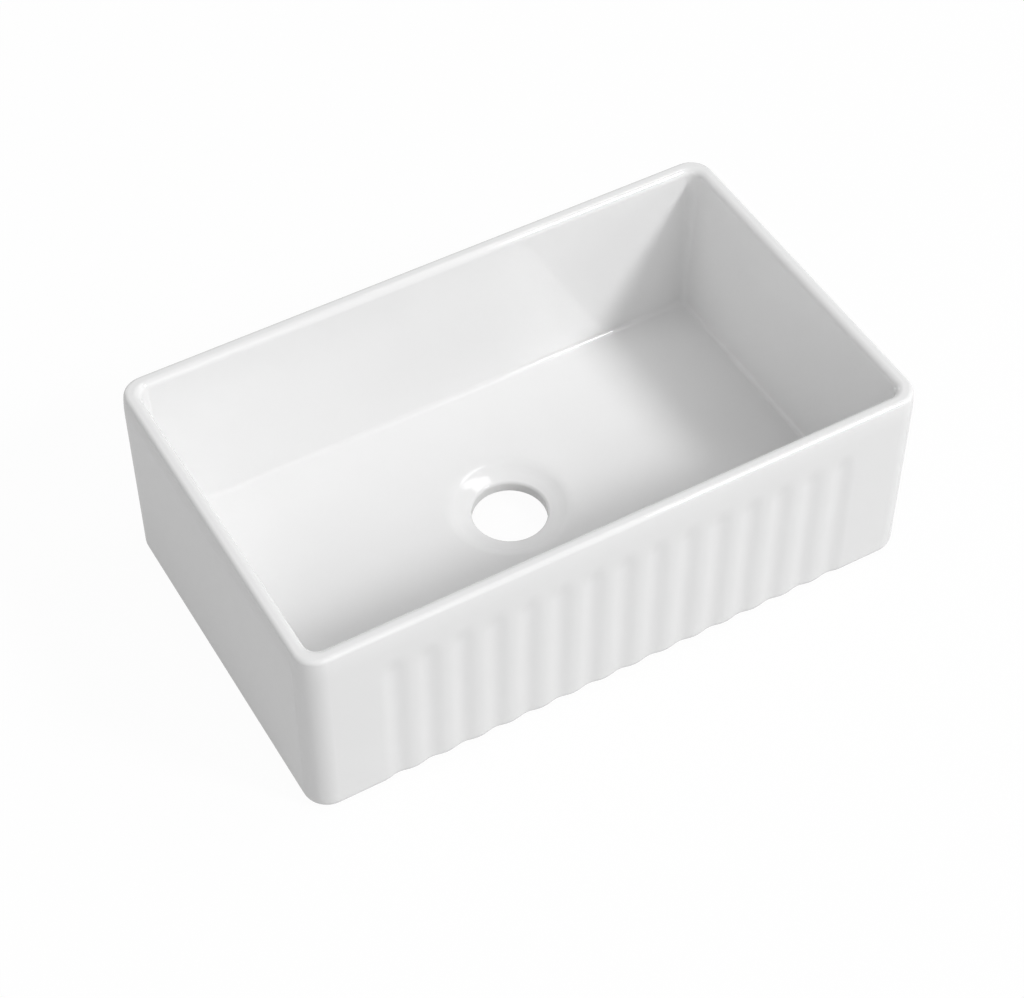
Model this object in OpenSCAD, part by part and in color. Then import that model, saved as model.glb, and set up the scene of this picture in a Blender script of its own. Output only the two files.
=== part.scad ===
// Fireclay single bowl sink with a fluted apron front.
// Millimetres. The origin is the middle of the base: +X runs along the front,
// the apron faces -Y and +Z is up. Every size is that of the finished, glazed sink.

/* [Overall size] */
// Length along the apron
sink_length = 762; // [640:1:900]
// Width from the apron to the back
sink_width = 457; // [420:1:520]
// Height from the foot to the rim
sink_height = 254; // [240:1:300]

/* [Outer edges] */
// Radius of the upright corners
corner_radius = 28; // [22:1:36]
// Radius of the rim's outer edge
rim_round = 9; // [4:0.5:9.5]
// Radius of the bottom edge
foot_round = 12; // [6:0.5:16]

/* [Bowl] */
// Thickness of the wall at the rim
rim_width = 19; // [18.5:0.5:30]
// Radius of the rim's inner edge
lip_round = 9; // [4:0.5:9]
// How far each wall leans in from rim to floor
wall_lean = 6.5; // [2:0.5:12]
// Radius of the cove between wall and floor
cove_radius = 9; // [4:0.5:10]
// Radius of the bowl's upright corners at the floor
bowl_corner_radius = 10.5; // [10.5:0.5:30]
// Fall of the floor towards the outlet
floor_fall = 4; // [1:0.5:6]

/* [Outlet] */
// Bore of the waste outlet
outlet_bore = 89; // [80:0.5:92]
// Distance of the outlet behind the middle of the sink
outlet_offset = 20; // [0:1:40]
// Diameter of the flat ring that seats the waste flange
seat_diameter = 116; // [112:1:124]
// Thickness of the floor under that ring
seat_thickness = 15; // [12:0.5:22]
// Depth of the ring below the floor around it
seat_depth = 6.5; // [3:0.5:8]
// Diameter of the dish that leads down to the ring
dish_diameter = 160; // [140:1:180]
// Radius of the edge where ring turns into bore
throat_round = 3; // [2:0.5:4]

/* [Underside] */
// Height of the perimeter foot
foot_height = 16.5; // [10:0.5:18]
// Width of the perimeter foot
foot_width = 42; // [34:1:70]
// Corner radius inside the foot
foot_corner_radius = 14; // [6:1:30]

/* [Flutes] */
// Least width of plain face left beside the flutes at each end
flute_margin = 80; // [60:1:200]
// Distance from flute to flute
flute_pitch = 39.8; // [34:0.1:40]
// Depth of a flute
flute_depth = 2.2; // [1:0.1:4]
// Width of the hollow part of a flute, the rest of the pitch being a rounded reed
hollow_width = 17; // [10:0.5:24]
// How far the crests of the reeds lie behind the flat face
reed_set_back = 0.2; // [0.1:0.1:1]
// Distance from the rim down to the tops of the flutes
flute_top = 42; // [30:1:80]
// Length over which a flute runs out at its top
flute_run_out = 20; // [8:1:40]

/* [Glaze] */
// Thickness of the glaze coat
glaze = 1; // [0.5:0.1:1.5]
// Height of the wiped line where the glaze stops above the foot
glaze_line = 4; // [3:0.5:6]

/* [Hidden] */
$fn = 96;

// Room that a cutting solid runs past the surface that it cuts
past = 5;
// Straight steps in half of a reed and in half of a hollow
reed_steps = 3;
hollow_steps = 2;
// Straight steps in the slope of the dish and round the edge of the throat
dish_steps = 10;
throat_steps = 4;
// Turn from one straight step to the next, as the flutes follow the bottom edge
edge_turn = 30;

// The floor's heights, from the flat ring outwards to the walls, and the bowl's depth there
seat_z = foot_height + seat_thickness;
dish_z = seat_z + seat_depth;
floor_z = dish_z + floor_fall;
bowl_depth = sink_height - floor_z;

// Radii round the axis of the outlet
bore_radius = outlet_bore / 2;
seat_radius = seat_diameter / 2;
dish_radius = dish_diameter / 2;

// Lean of the bowl's walls, and the bowl's corner radius where a wall meets the rim plane
lean_angle = atan(wall_lean / bowl_depth);
lip_corner_radius = bowl_corner_radius + wall_lean;

// Half lengths of the rectangles whose corners are the axes of the rounded corners
outer_core = [sink_length / 2 - corner_radius, sink_width / 2 - corner_radius];
bowl_core = [sink_length / 2 - rim_width - lip_corner_radius,
             sink_width / 2 - rim_width - lip_corner_radius];

// The floor falls from this circle, which stays clear of the cove at the back, and the
// outlet's own coat of glaze laps over the floor's by a little round it
fall_lap = 1;
fall_radius = bowl_core[1] + bowl_corner_radius - cove_radius - outlet_offset - 2 * fall_lap;

// Half of a flute's pitch is half a hollow and half a reed, joined at the steepest slope
half_pitch = flute_pitch / 2;
half_hollow = hollow_width / 2;
half_reed = half_pitch - half_hollow;
steepest = 2 * flute_depth / half_pitch;
flute_count = floor((sink_length - 2 * flute_margin) / flute_pitch);
field_half = flute_count * half_pitch;
flute_floor = reed_set_back + flute_depth;

// Depth of the fluted surface behind the reeds' crests, at a distance from a flute's middle
function depth_at(u) = u < half_hollow
    ? flute_depth - steepest * u * u / (2 * half_hollow)
    : steepest * pow(half_pitch - u, 2) / (2 * half_reed);

// Distances from a flute's middle where its outline has a point, from left crest to the right
half_points = concat(
    [for (i = [0 : hollow_steps - 1]) half_hollow * i / hollow_steps],
    [for (i = [0 : reed_steps]) half_hollow + half_reed * i / reed_steps]);
flute_points = concat(
    [for (i = [len(half_points) - 1 : -1 : 1]) -half_points[i]],
    [for (i = [0 : len(half_points) - 2]) half_points[i]]);

// Outline of the fluted field in plan: x along the front, y as depth into the wall.
// Beside the outer reeds it comes back out through the flat face
flute_outline = concat(
    [[-field_half - half_reed, -past], [-field_half - half_reed, -reed_set_back]],
    [for (k = [0 : flute_count - 1], u = flute_points)
        [(2 * k + 1) * half_pitch - field_half + u, reed_set_back + depth_at(abs(u))]],
    [[field_half, reed_set_back],
     [field_half + half_reed, -reed_set_back], [field_half + half_reed, -past]]);

// A prism with a rounded outline all round: its profile is swept along the sides of a
// rectangle and turned about its corners. The profile's x is the distance from the rectangle.
module swept(core, bottom, top) {
    translate([-core[0], -core[1], bottom]) cube([2 * core[0], 2 * core[1], top - bottom]);
    for (side = [0, 180]) rotate([0, 0, side]) {
        translate([core[0], 0, 0]) rotate([90, 0, 0])
            linear_extrude(2 * core[1], center = true) children();
        translate([0, core[1], 0]) rotate([90, 0, 90])
            linear_extrude(2 * core[0], center = true) children();
        translate([core[0], core[1], 0]) rotate_extrude(angle = 90) children();
        translate([core[0], -core[1], 0]) rotate([0, 0, -90]) rotate_extrude(angle = 90) children();
    }
}

// Profile of the outside, set in by a skin, with its rim edge and bottom edge rounded
module outer_profile(skin) {
    rim_centre = [corner_radius - rim_round, sink_height - rim_round];
    foot_centre = [corner_radius - foot_round, foot_round - skin];
    square([foot_centre[0], sink_height - skin]);
    translate([0, foot_centre[1]]) square([corner_radius - skin, rim_centre[1] - foot_centre[1]]);
    translate([0, foot_centre[1]]) square([rim_centre[0], sink_height - skin - foot_centre[1]]);
    intersection() {
        translate(rim_centre) circle(rim_round - skin);
        translate(rim_centre) square(rim_round);
    }
    intersection() {
        translate(foot_centre) circle(foot_round - skin);
        translate([foot_centre[0], 0]) square([foot_round, foot_centre[1]]);
    }
}

// Profile of the bowl's hollow, grown by a skin: floor, cove, leaning wall and rounded lip
module bowl_profile(skin) {
    tangent = cove_radius / tan((90 + lean_angle) / 2);
    cove_x = bowl_corner_radius - tangent;
    cove_z = floor_z + cove_radius;
    lip_z = sink_height - lip_round;
    lip_x = lip_corner_radius - lip_round * tan(lean_angle) + lip_round / cos(lean_angle);
    cove_out = cove_radius + skin;
    lip_in = lip_round - skin;
    difference() {
        union() {
            polygon([
                [0, floor_z - skin],
                [cove_x, floor_z - skin],
                [cove_x, cove_z],
                [cove_x + cove_out * cos(lean_angle), cove_z - cove_out * sin(lean_angle)],
                [lip_x - lip_in * cos(lean_angle), lip_z + lip_in * sin(lean_angle)],
                [lip_x, lip_z],
                [lip_x, sink_height + past],
                [0, sink_height + past]]);
            intersection() {
                translate([cove_x, cove_z]) circle(cove_out);
                translate([cove_x, cove_z - cove_out]) square(cove_out);
            }
        }
        translate([lip_x, lip_z]) circle(lip_in);
    }
}

// Outline of what is turned about the outlet's axis, lowered by a skin: the falling floor,
// the dish, the flat ring and the rounded edge of the throat, down to the bore
function outlet_outline(skin) = concat(
    [[fall_radius, floor_z - skin]],
    [for (i = [0 : dish_steps]) let (t = i / dish_steps)
        [dish_radius + (seat_radius - dish_radius) * t,
         dish_z - skin - seat_depth * (1 - cos(180 * t)) / 2]],
    [for (i = [0 : throat_steps]) let (a = 90 - 90 * i / throat_steps)
        [bore_radius + throat_round - (throat_round - skin) * cos(a),
         seat_z - throat_round + (throat_round - skin) * sin(a)]]);

// The hollow of the outlet, from the bowl through to the underside
module outlet_hollow(skin) {
    translate([0, outlet_offset, 0]) rotate_extrude() polygon(concat(
        [[0, floor_z + past], [fall_radius, floor_z + past]],
        outlet_outline(skin),
        [[bore_radius + skin, -past], [0, -past]]));
}

// The glaze on the outlet, from its lap down the throat to the underside
module outlet_coat() {
    inner = outlet_outline(glaze);
    translate([0, outlet_offset, 0]) rotate_extrude() polygon(concat(
        [[fall_radius + fall_lap, floor_z]],
        outlet_outline(0),
        [[bore_radius, foot_height], [bore_radius + glaze, foot_height]],
        [for (i = [len(inner) - 1 : -1 : 0]) inner[i]],
        [[fall_radius + fall_lap, floor_z - glaze]]));
}

// One straight run of the fluted field, seen as a cut into the front face
module flute_run(skin, bottom, top) {
    translate([0, -sink_width / 2 + skin, bottom])
        linear_extrude(top - bottom) polygon(flute_outline);
}

// The flutes: straight up the apron, run out under a slant at the top, and carried
// round the bottom edge in short straight steps
module flutes(skin) {
    run_out_z = sink_height - flute_top;
    slant = flute_run_out / flute_floor;
    intersection() {
        flute_run(skin, foot_round, sink_height);
        translate([-field_half - half_pitch, -sink_width / 2 + skin, 0]) rotate([90, 0, 90])
            linear_extrude(2 * (field_half + half_pitch)) polygon([
                [-past, 0], [flute_floor + 1, 0], [flute_floor + 1, run_out_z - flute_run_out - slant],
                [0, run_out_z], [-past, run_out_z + past * slant]]);
    }
    half_step = (foot_round + past) * tan(edge_turn / 2);
    for (turn = [edge_turn : edge_turn : 90 - edge_turn])
        translate([0, -sink_width / 2 + foot_round, foot_round]) rotate([turn, 0, 0])
            translate([0, sink_width / 2 - foot_round, -foot_round])
                flute_run(skin, foot_round - half_step, foot_round + half_step);
}

// The sink's outer form and bowl without the outlet, with every surface set in by a skin
module sink_form(skin) {
    difference() {
        swept(outer_core, 0, sink_height - skin) outer_profile(skin);
        swept(bowl_core, floor_z - skin, sink_height + past) bowl_profile(skin);
        flutes(skin);
    }
}

// The hollow of the underside, inside the perimeter foot
module foot_recess() {
    half = [sink_length / 2 - foot_width, sink_width / 2 - foot_width];
    inner = [half[0] - foot_corner_radius, half[1] - foot_corner_radius];
    translate([0, 0, -past]) linear_extrude(foot_height + past) {
        square([2 * half[0], 2 * inner[1]], center = true);
        square([2 * inner[0], 2 * half[1]], center = true);
        for (x = [-1, 1], y = [-1, 1])
            translate([x * inner[0], y * inner[1]]) circle(foot_corner_radius);
    }
}

// The fired casting: walls, floor, apron and perimeter foot
module fireclay_body() {
    color("wheat") difference() {
        sink_form(glaze);
        outlet_hollow(glaze);
        foot_recess();
    }
}

// The glaze over it, inside and out, from the wiped line above the foot to the rim
// and down the throat to the underside
module glaze_coat() {
    color("white") {
        difference() {
            sink_form(0);
            sink_form(glaze);
            translate([0, outlet_offset, 0]) cylinder(h = floor_z + past, r = fall_radius);
            translate([-sink_length / 2 - past, -sink_width / 2 - past, -past])
                cube([sink_length + 2 * past, sink_width + 2 * past, glaze_line + past]);
        }
        outlet_coat();
    }
}

fireclay_body();
glaze_coat();
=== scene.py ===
import math

import bmesh
import bpy
from mathutils import Matrix, Vector


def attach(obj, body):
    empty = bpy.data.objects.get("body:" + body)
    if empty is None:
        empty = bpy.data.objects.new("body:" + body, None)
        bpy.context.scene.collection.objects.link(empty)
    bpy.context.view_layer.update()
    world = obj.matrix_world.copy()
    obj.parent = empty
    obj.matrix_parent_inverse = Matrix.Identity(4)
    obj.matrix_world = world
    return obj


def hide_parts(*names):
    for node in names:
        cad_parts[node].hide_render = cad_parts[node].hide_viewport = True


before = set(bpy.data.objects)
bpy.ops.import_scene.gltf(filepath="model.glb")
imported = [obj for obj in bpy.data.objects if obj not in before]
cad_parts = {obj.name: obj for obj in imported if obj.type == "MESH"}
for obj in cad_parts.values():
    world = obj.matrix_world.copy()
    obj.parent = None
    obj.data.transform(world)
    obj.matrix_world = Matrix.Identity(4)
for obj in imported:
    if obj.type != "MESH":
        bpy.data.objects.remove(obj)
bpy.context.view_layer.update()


# The camera stands above the left end of the apron and looks down into the bowl,
# with the long lens of a catalogue photograph.
camera_turn = math.radians(-29.945)
camera_rise = math.radians(48.916)
camera_distance = 2.8678
aim_height = 0.127
aim_right = -0.00735
aim_up = -0.03611

camera_back = Vector((
    math.sin(camera_turn) * math.cos(camera_rise),
    -math.cos(camera_turn) * math.cos(camera_rise),
    math.sin(camera_rise),
))
camera_right = Vector((math.cos(camera_turn), math.sin(camera_turn), 0))
camera_up = camera_back.cross(camera_right)
camera_eye = (
    Vector((0, 0, aim_height))
    + camera_distance * camera_back
    + aim_right * camera_right
    + aim_up * camera_up
)

camera_data = bpy.data.cameras.new("camera")
camera_data.lens = 89.226
camera_data.sensor_width = 36
camera_data.clip_start = 0.1
camera_data.clip_end = 50
camera = bpy.data.objects.new("camera", camera_data)
camera.matrix_world = Matrix.Translation(camera_eye) @ Matrix(
    (camera_right, camera_up, camera_back)
).transposed().to_4x4()
bpy.context.scene.collection.objects.link(camera)
bpy.context.scene.camera = camera


# The casting is fireclay, slip cast in a plaster mould and fired to a buff body. Its walls,
# floor, fluted apron and perimeter foot are one piece. The glaze covers all of it but the
# foot and the underside.
length = 0.762
width = 0.457
height = 0.254
outer_corner = 0.0290
rim_edge = 0.0050
rim_draw = 0.0022
rim_draw_start = 0.225
rim_draw_cuts = 5
rim_draw_spacing = 0.005
foot_edge = 0.012
rim_width = 0.019
bowl_corner = 0.0155
wall_lean = 0.0065
lip_edge = 0.0085
cove = 0.0065
cove_border = 0.0012
floor_height = 0.042
glaze_thickness = 0.001

outlet_y = 0.020
throat_radius = 0.0445
throat_edge = 0.003
seat_height = 0.0306
cone_radius = 0.0605
cone_height = 0.0363
cone_rounding = 0.0050
dish_radius = 0.0712
dish_rounding = 0.0060
level_radius = 0.100

foot_width = 0.042
foot_height = 0.0165
foot_corner = 0.016
recess_edge = 0.004

# The flutes run out softly under the rim, and round the apron's bottom edge, where their end
# and its fade are in degrees.
flute_pitch = 0.0398
flute_count = 15
flute_depth = 0.0023
flute_narrowing = 1.2
flute_steps = 20
flute_top = 0.2145
flute_run_out = 0.030
flute_run_out_cuts = 15
flute_end = 85
flute_end_fade = 35
field_half = flute_count * flute_pitch / 2

# The walls are cut into columns, the long ones at the ridges between the flutes.
ridges = [flute_pitch * k - field_half for k in range(flute_count + 1)]
end_columns = (-0.15, -0.09, -0.03, 0.03, 0.09, 0.15)

# Two heights closer than this are the same.
hair = 1e-6


def edges_at(bm, z):
    """The level edges at one height."""
    return [e for e in bm.edges if all(abs(v.co.z - z) < hair for v in e.verts)]


def faces_at(bm, z):
    """The flat faces at one height."""
    return [f for f in bm.faces if all(abs(v.co.z - z) < hair for v in f.verts)]


def round_off(bm, parts, radius, steps, kind="EDGES"):
    """Rounds edges, or the bends of a wire, to a radius."""
    bmesh.ops.bevel(
        bm, geom=parts, offset=radius, offset_type="OFFSET", segments=steps,
        profile=0.5, affect=kind, material=-1, clamp_overlap=False,
    )


def cut(bm, faces, place, across, clear_inner=False):
    """Cuts faces along a plane, and returns all the faces that come of them."""
    edges = {e for f in faces for e in f.edges}
    verts = {v for f in faces for v in f.verts}
    made = bmesh.ops.bisect_plane(
        bm, geom=list(verts) + list(edges) + list(faces), dist=hair / 10,
        plane_co=place, plane_no=across, clear_inner=clear_inner,
    )
    return list({g for g in made["geom"] if isinstance(g, bmesh.types.BMFace)})


def eased_block(bm, half_length, half_width, bottom, top, corner):
    """A block with eased upright corners. All the blocks in the sink have the same columns,
    so that they join edge to edge."""
    old = set(bm.verts)
    made = bmesh.ops.create_cube(bm, size=2)["verts"]
    bmesh.ops.scale(bm, verts=made, vec=(half_length, half_width, (top - bottom) / 2))
    bmesh.ops.translate(bm, verts=made, vec=(0, 0, (top + bottom) / 2))
    uprights = {
        e for v in made for e in v.link_edges
        if abs(e.verts[0].co.z - e.verts[1].co.z) > hair
    }
    round_off(bm, list(uprights), corner, steps=12)
    columns = [((x, 0, 0), (1, 0, 0)) for x in ridges]
    columns += [((0, y, 0), (0, 1, 0)) for y in end_columns]
    for place, across in columns:
        walls = [f for f in bm.faces if f.verts[0] not in old and abs(f.normal.z) < 0.5]
        cut(bm, walls, place, across)
    bm.normal_update()


def join_rings(bm, z):
    """Joins the two open rings at one height with a flat band. One of them is lifted
    meanwhile, because the operator finds which way they run from how one lies to the other."""
    lift = 0.01
    border = {e for e in edges_at(bm, z) if e.is_boundary}
    start = next(iter(border)).verts[0]
    ring = {start}
    ends = [start]
    while ends:
        end = ends.pop()
        for e in border.intersection(end.link_edges):
            following = e.other_vert(end)
            if following not in ring:
                ring.add(following)
                ends.append(following)
    for v in ring:
        v.co.z = z + lift
    bmesh.ops.bridge_loops(bm, edges=list(border))
    for v in ring:
        v.co.z = z
    bm.normal_update()


def fill_flat(bm, z):
    """Fills the flat face between the two open rings at one height."""
    border = [e for e in edges_at(bm, z) if e.is_boundary]
    bmesh.ops.triangle_fill(bm, edges=border, use_beauty=True, normal=(0, 0, 1))
    bm.normal_update()


def draw_in(bm, top):
    """Draws the outside in towards the rim, more and more steeply."""
    for k in range(rim_draw_cuts):
        cut(bm, list(bm.faces), (0, 0, rim_draw_start + rim_draw_spacing * k), (0, 0, 1))
    bm.normal_update()
    shifts = {}
    for v in bm.verts:
        share = (v.co.z - rim_draw_start) / (top - rim_draw_start)
        if share > 0:
            outward = Vector((v.normal.x, v.normal.y, 0)).normalized()
            shifts[v] = rim_draw * share * share * outward
    for v, shift in shifts.items():
        v.co -= shift


def fade(t):
    """A soft step from 0 to 1."""
    t = min(1, max(0, t))
    return t * t * (3 - 2 * t)


def press_flutes(bm):
    """Presses the flutes into the apron and carries them round its bottom edge."""
    axis_y = foot_edge - width / 2
    axis_z = foot_edge
    apron = [
        f for f in bm.faces
        if all(v.co.y < axis_y - hair and abs(v.co.x) < field_half + hair for v in f.verts)
    ]
    for k in range(flute_run_out_cuts):
        down = flute_run_out * k / (flute_run_out_cuts - 1)
        apron = cut(bm, apron, (0, 0, flute_top - down), (0, 0, 1))
    level = {
        e for f in apron for e in f.edges
        if abs(e.verts[0].co.z - e.verts[1].co.z) < hair
        and e.verts[0].co.z < flute_top + hair
    }
    bmesh.ops.subdivide_edges(bm, edges=list(level), cuts=flute_steps - 1, use_grid_fill=True)
    for v in bm.verts:
        if v.co.y > axis_y or abs(v.co.x) > field_half or v.co.z > flute_top:
            continue
        wave = math.sin(math.pi * (v.co.x + field_half) / flute_pitch) ** 2
        depth = flute_depth * wave ** flute_narrowing
        if v.co.z >= axis_z:
            v.co.y += depth * fade((flute_top - v.co.z) / flute_run_out)
            continue
        inward = Vector((0, axis_y - v.co.y, axis_z - v.co.z)).normalized()
        round_edge = math.degrees(math.atan2(inward.z, inward.y))
        v.co += inward * depth * fade((flute_end - round_edge) / flute_end_fade)


def turned_outlet(bm, skin):
    """The middle of the floor, the dish, the seat and the throat, turned about one axis."""
    outline = [
        (level_radius, floor_height - skin, 0),
        (dish_radius, floor_height - skin, dish_rounding),
        (cone_radius, cone_height - skin, cone_rounding),
        (throat_radius + skin, seat_height - skin, throat_edge - skin),
        (throat_radius + skin, foot_height, 0),
    ]
    old = set(bm.verts)
    bend = [bm.verts.new((radius, outlet_y, z)) for radius, z, rounding in outline]
    for pair in zip(bend, bend[1:]):
        bm.edges.new(pair)
    for corner, (radius, z, rounding) in zip(bend, outline):
        if rounding:
            round_off(bm, [corner], rounding, steps=8, kind="VERTICES")
    new = [v for v in bm.verts if v not in old]
    wire = list({e for v in new for e in v.link_edges})
    bmesh.ops.spin(
        bm, geom=new + wire, cent=(0, outlet_y, 0), axis=(0, 0, 1),
        angle=2 * math.pi, steps=96, use_merge=True,
    )


def sink_walls(bm, skin):
    """The outside, the rim, the bowl and the outlet as one sheet, set in by a skin."""
    top = height - skin
    floor = floor_height - skin
    eased_block(bm, length / 2 - skin, width / 2 - skin, 0, top, outer_corner - skin)
    round_off(bm, edges_at(bm, 0), foot_edge - skin, steps=9)
    draw_in(bm, top)
    bmesh.ops.delete(bm, geom=faces_at(bm, top) + faces_at(bm, 0), context="FACES_ONLY")
    press_flutes(bm)
    outside = set(bm.verts)

    eased_block(
        bm, length / 2 - rim_width + skin, width / 2 - rim_width + skin, floor, top,
        bowl_corner + skin,
    )
    bmesh.ops.delete(bm, geom=faces_at(bm, top), context="FACES_ONLY")
    for v in bm.verts:
        if v not in outside and abs(v.co.z - floor) < hair:
            across = Vector((v.normal.x, v.normal.y, 0))
            v.co -= wall_lean * across.normalized()
    bowl = [f for f in bm.faces if f.verts[0] not in outside]
    bmesh.ops.reverse_faces(bm, faces=bowl)
    round_off(bm, edges_at(bm, floor), cove + skin, steps=9)
    bmesh.ops.inset_region(bm, faces=faces_at(bm, floor), thickness=cove_border)
    # The border is all quads. The one face with more corners is the floor inside it.
    middle = [f for f in faces_at(bm, floor) if len(f.verts) > 4]
    bmesh.ops.delete(bm, geom=middle, context="FACES_ONLY")

    rim = edges_at(bm, top)
    inner = [e for e in rim if e.verts[0] not in outside]
    outer = [e for e in rim if e.verts[0] in outside]
    join_rings(bm, top)
    round_off(bm, outer, rim_edge - skin, steps=16)
    round_off(bm, inner, lip_edge - skin, steps=16)

    turned_outlet(bm, skin)
    fill_flat(bm, floor)


def make_piece(bm, name, node, material):
    """Makes the piece that stands for a CAD node and fixes it to the sink."""
    bmesh.ops.recalc_face_normals(bm, faces=bm.faces)
    for face in bm.faces:
        face.smooth = True
    mesh = bpy.data.meshes.new(name)
    bm.to_mesh(mesh)
    bm.free()
    mesh.materials.append(material)
    piece = bpy.data.objects.new(name, mesh)
    bpy.context.scene.collection.objects.link(piece)
    flats = piece.modifiers.new("flats", "WEIGHTED_NORMAL")
    flats.mode = "FACE_AREA"
    flats.weight = 50
    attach(piece, "root")
    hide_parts(node)


def linear(hex_colour):
    """An sRGB hex colour as the linear colour that a shader takes."""
    parts = [int(hex_colour[k:k + 2], 16) / 255 for k in (1, 3, 5)]
    return [p / 12.92 if p <= 0.04045 else ((p + 0.055) / 1.055) ** 2.4 for p in parts] + [1]


def add_node(tree, kind, settings=None, inputs=None):
    """Adds a node, sets its own settings, and gives its inputs a value or a link each."""
    new = tree.nodes.new(kind)
    for name, value in (settings or {}).items():
        setattr(new, name, value)
    for name, value in (inputs or {}).items():
        if isinstance(value, bpy.types.NodeSocket):
            tree.links.new(value, new.inputs[name])
        else:
            new.inputs[name].default_value = value
    return new


def new_material(name):
    """An empty node material and its tree."""
    material = bpy.data.materials.new(name)
    material.use_nodes = True
    material.node_tree.nodes.clear()
    return material, material.node_tree


# Fireclay: buff clay with ground grog, slip cast and fired unglazed here. It is matte and
# close grained, warmer where the kiln flashed it, with sparse dark specks of iron.
kiln_flash = 0.045
grog_grain = 0.0011
grog_share = 0.35
iron_spacing = 0.0038
iron_share = 0.14
iron_size = 0.22
grain_relief = 0.0003

fireclay, tree = new_material("unglazed_fireclay")
place = add_node(tree, "ShaderNodeTexCoord").outputs["Object"]
clouds = add_node(
    tree, "ShaderNodeTexNoise", None, {"Vector": place, "Scale": 1 / kiln_flash, "Detail": 3}
).outputs["Fac"]
grain = add_node(
    tree, "ShaderNodeTexNoise", None, {"Vector": place, "Scale": 1 / grog_grain, "Detail": 4}
).outputs["Fac"]
specks = add_node(
    tree, "ShaderNodeTexVoronoi", {"feature": "F1"},
    {"Vector": place, "Scale": 1 / iron_spacing},
)
body = add_node(
    tree, "ShaderNodeMix", {"data_type": "RGBA"},
    {0: clouds, 6: linear("#CDB998"), 7: linear("#DCCCB0")},
).outputs[2]
grog = add_node(
    tree, "ShaderNodeMapRange", None,
    {"Value": grain, "From Min": 0.45, "From Max": 0.7, "To Min": 0, "To Max": grog_share},
).outputs["Result"]
body = add_node(
    tree, "ShaderNodeMix", {"data_type": "RGBA"}, {0: grog, 6: body, 7: linear("#B79F7C")},
).outputs[2]
has_iron = add_node(
    tree, "ShaderNodeMath", {"operation": "LESS_THAN"},
    {0: specks.outputs["Color"], 1: iron_share},
).outputs[0]
near_middle = add_node(
    tree, "ShaderNodeMath", {"operation": "LESS_THAN"},
    {0: specks.outputs["Distance"], 1: iron_size},
).outputs[0]
speck = add_node(
    tree, "ShaderNodeMath", {"operation": "MULTIPLY"}, {0: has_iron, 1: near_middle}
).outputs[0]
body = add_node(
    tree, "ShaderNodeMix", {"data_type": "RGBA"}, {0: speck, 6: body, 7: linear("#7A6248")},
).outputs[2]
relief = add_node(
    tree, "ShaderNodeBump", None,
    {"Strength": 0.6, "Distance": grain_relief, "Height": grain},
).outputs["Normal"]
surface = add_node(
    tree, "ShaderNodeBsdfPrincipled", None,
    {"Base Color": body, "Roughness": 0.82, "IOR": 1.5, "Specular IOR Level": 0.3,
     "Normal": relief},
).outputs[0]
add_node(tree, "ShaderNodeOutputMaterial", None, {"Surface": surface})

bm = bmesh.new()
sink_walls(bm, glaze_thickness)
walls = set(bm.verts)
eased_block(
    bm, length / 2 - foot_width, width / 2 - foot_width, 0, foot_height, foot_corner
)
recess = [e for e in edges_at(bm, foot_height) if e.verts[0] not in walls]
round_off(bm, recess, recess_edge, steps=4)
lids = faces_at(bm, foot_height) + faces_at(bm, 0)
bmesh.ops.delete(bm, geom=lids, context="FACES_ONLY")
fill_flat(bm, 0)
fill_flat(bm, foot_height)
make_piece(bm, "casting", "fireclay_body", fireclay)


# The glaze is an opaque white coat under a clear gloss, sprayed over the dry casting and
# fired with it. It is wiped off just above the foot and ends at the underside in the throat.
glaze_line = 0.004
pool_size = 0.11
wave_length = 0.038
wave_relief = 0.00008
peel_grain = 0.0033
peel_relief = 0.000003
thick_roughness = 0.055
thin_roughness = 0.085

# White gloss glaze: it flowed level in the kiln, so it is bright and sharp in its reflections,
# with long soft waves, a fine peel, and a little less gloss where it lies thin.
white_glaze, tree = new_material("white_gloss_glaze")
place = add_node(tree, "ShaderNodeTexCoord").outputs["Object"]
pooling = add_node(
    tree, "ShaderNodeTexNoise", None, {"Vector": place, "Scale": 1 / pool_size, "Detail": 2}
).outputs["Fac"]
colour = add_node(
    tree, "ShaderNodeMix", {"data_type": "RGBA"},
    {0: pooling, 6: linear("#F3F3F3"), 7: linear("#F0F0F0")},
).outputs[2]
waves = add_node(
    tree, "ShaderNodeTexNoise", None, {"Vector": place, "Scale": 1 / wave_length, "Detail": 1}
).outputs["Fac"]
wavy = add_node(
    tree, "ShaderNodeBump", None,
    {"Strength": 0.5, "Distance": wave_relief, "Height": waves},
).outputs["Normal"]
peel = add_node(
    tree, "ShaderNodeTexNoise", None, {"Vector": place, "Scale": 1 / peel_grain, "Detail": 2}
).outputs["Fac"]
peeled = add_node(
    tree, "ShaderNodeBump", None,
    {"Strength": 0.3, "Distance": peel_relief, "Height": peel, "Normal": wavy},
).outputs["Normal"]
gloss = add_node(
    tree, "ShaderNodeMapRange", None,
    {"Value": pooling, "To Min": thick_roughness, "To Max": thin_roughness},
).outputs["Result"]
surface = add_node(
    tree, "ShaderNodeBsdfPrincipled", None,
    {"Base Color": colour, "Roughness": gloss, "IOR": 1.5, "Normal": peeled},
).outputs[0]
add_node(tree, "ShaderNodeOutputMaterial", None, {"Surface": surface})

bm = bmesh.new()
sink_walls(bm, glaze_thickness)
inside = bpy.data.meshes.new("inside_of_glaze")
bm.to_mesh(inside)
bm.free()
bm = bmesh.new()
sink_walls(bm, 0)
bm.from_mesh(inside)
bpy.data.meshes.remove(inside)
cut(bm, list(bm.faces), (0, 0, glaze_line), (0, 0, 1), clear_inner=True)
join_rings(bm, glaze_line)
join_rings(bm, foot_height)
make_piece(bm, "glaze", "glaze_coat", white_glaze)


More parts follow.
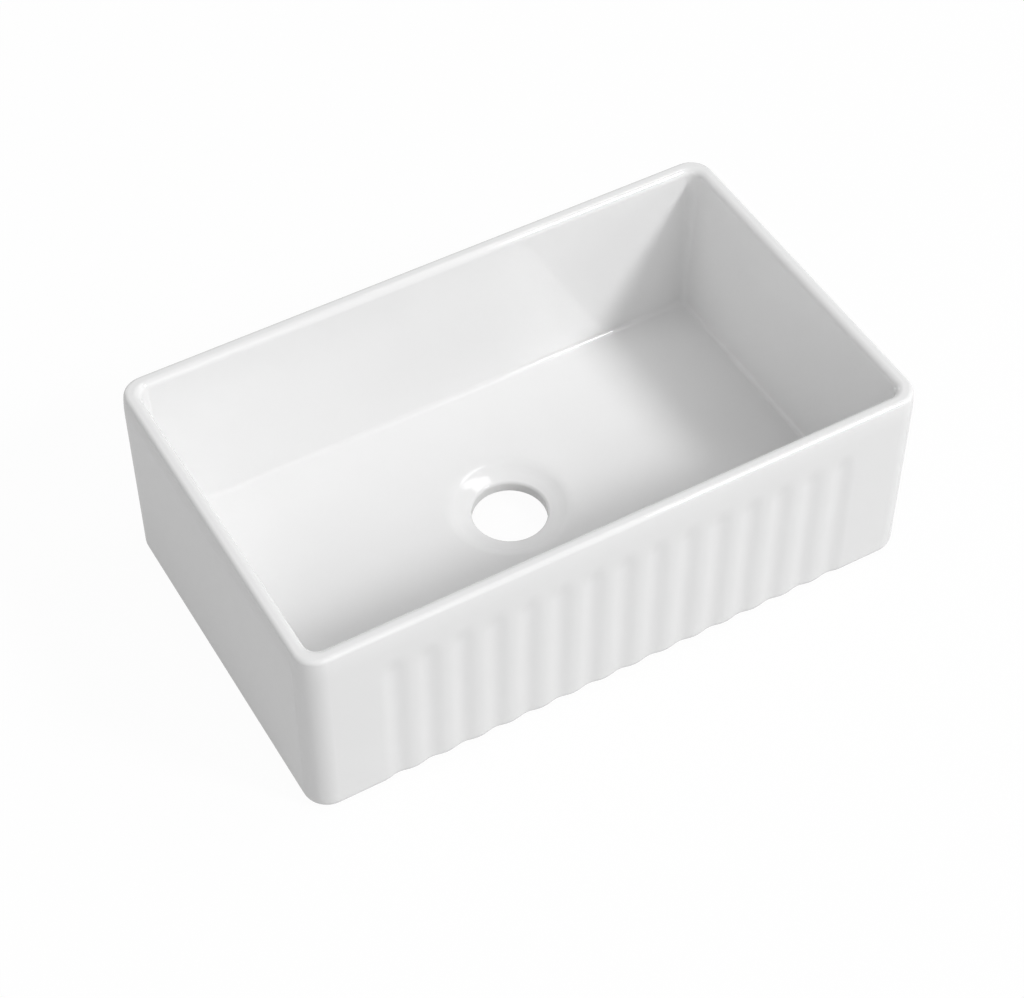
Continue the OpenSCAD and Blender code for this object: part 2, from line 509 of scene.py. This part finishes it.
# The sink stands on a white sweep. The camera sees it as all but plain white, and the gloss
# sees a little over half of that. The rest is its own lit paper, which keeps the sink's shadow.
sweep_reach = 8
camera_share = 0.96
gloss_share = 0.575

sweep_paint, tree = new_material("white_sweep")
rays = add_node(tree, "ShaderNodeLightPath").outputs
seen = add_node(
    tree, "ShaderNodeMath", {"operation": "ADD", "use_clamp": True},
    {0: rays["Is Camera Ray"], 1: rays["Is Transmission Ray"]},
).outputs[0]
mirrored = add_node(
    tree, "ShaderNodeMath", {"operation": "MULTIPLY"},
    {0: rays["Is Glossy Ray"], 1: gloss_share},
).outputs[0]
share = add_node(
    tree, "ShaderNodeMath", {"operation": "MULTIPLY_ADD"},
    {0: seen, 1: camera_share, 2: mirrored},
).outputs[0]
paper = add_node(
    tree, "ShaderNodeMix", {"data_type": "RGBA"},
    {0: seen, 6: linear("#BDBDBD"), 7: linear("#F6F6F6")},
).outputs[2]
lit = add_node(tree, "ShaderNodeBsdfDiffuse", None, {"Color": paper}).outputs[0]
plain = add_node(
    tree, "ShaderNodeEmission", None, {"Color": (1, 1, 1, 1), "Strength": 1}
).outputs[0]
surface = add_node(tree, "ShaderNodeMixShader", None, {0: share, 1: lit, 2: plain}).outputs[0]
add_node(tree, "ShaderNodeOutputMaterial", None, {"Surface": surface})

bm = bmesh.new()
bmesh.ops.create_grid(bm, x_segments=1, y_segments=1, size=sweep_reach)
mesh = bpy.data.meshes.new("studio_floor")
bm.to_mesh(mesh)
bm.free()
mesh.materials.append(sweep_paint)
studio_floor = bpy.data.objects.new("studio_floor", mesh)
bpy.context.scene.collection.objects.link(studio_floor)


# The room is even grey to the object and white to the camera.
room_light = 0.405

world = bpy.data.worlds.new("studio")
world.use_nodes = True
tree = world.node_tree
tree.nodes.clear()
rays = add_node(tree, "ShaderNodeLightPath").outputs
room = add_node(
    tree, "ShaderNodeBackground", None, {"Color": (1, 1, 1, 1), "Strength": room_light}
).outputs[0]
backdrop = add_node(
    tree, "ShaderNodeBackground", None, {"Color": (1, 1, 1, 1), "Strength": 1}
).outputs[0]
surface = add_node(
    tree, "ShaderNodeMixShader", None, {0: rays["Is Camera Ray"], 1: room, 2: backdrop}
).outputs[0]
add_node(tree, "ShaderNodeOutputWorld", None, {"Surface": surface})
bpy.context.scene.world = world


# The key is a round softbox to the right of the front, which draws the bright lines on the
# rim, the cove and the dish. Broad dim lamps lift the apron, the left end and the back, and
# the low right one crosses the apron so that its flutes show.
lamp_distance = 12
lamp_aim = 0.15


def softbox(name, turn, rise, across, high, power):
    """A soft lamp that faces the sink. Its turn goes from the front to the right and its rise
    up from the floor, in degrees. It is so many metres across and high, and has its power in
    watts."""
    lamp = bpy.data.lights.new(name, "AREA")
    lamp.shape = "ELLIPSE"
    lamp.size = across
    lamp.size_y = high
    lamp.energy = power
    turn = math.radians(turn)
    rise = math.radians(rise)
    out = Vector((
        math.sin(turn) * math.cos(rise),
        -math.cos(turn) * math.cos(rise),
        math.sin(rise),
    ))
    box = bpy.data.objects.new(name, lamp)
    box.matrix_world = (
        Matrix.Translation(Vector((0, 0, lamp_aim)) + lamp_distance * out)
        @ out.to_track_quat("Z", "Y").to_matrix().to_4x4()
    )
    bpy.context.scene.collection.objects.link(box)


softbox("key", 37, 40.6, 2.4, 2.4, 645)
softbox("front", 8, 34, 4.0, 4.0, 95)
softbox("low_front", 0, 15, 8.0, 3.0, 45)
softbox("low_right", 65, 15, 8.0, 3.0, 125)
softbox("left", -60, 40, 8.0, 6.0, 98)
softbox("back", 190, 18, 5.0, 4.0, 105)
softbox("high_right", 86, 60, 2.6, 5.8, 150)
bpy.context.scene.view_settings.view_transform = "Standard"
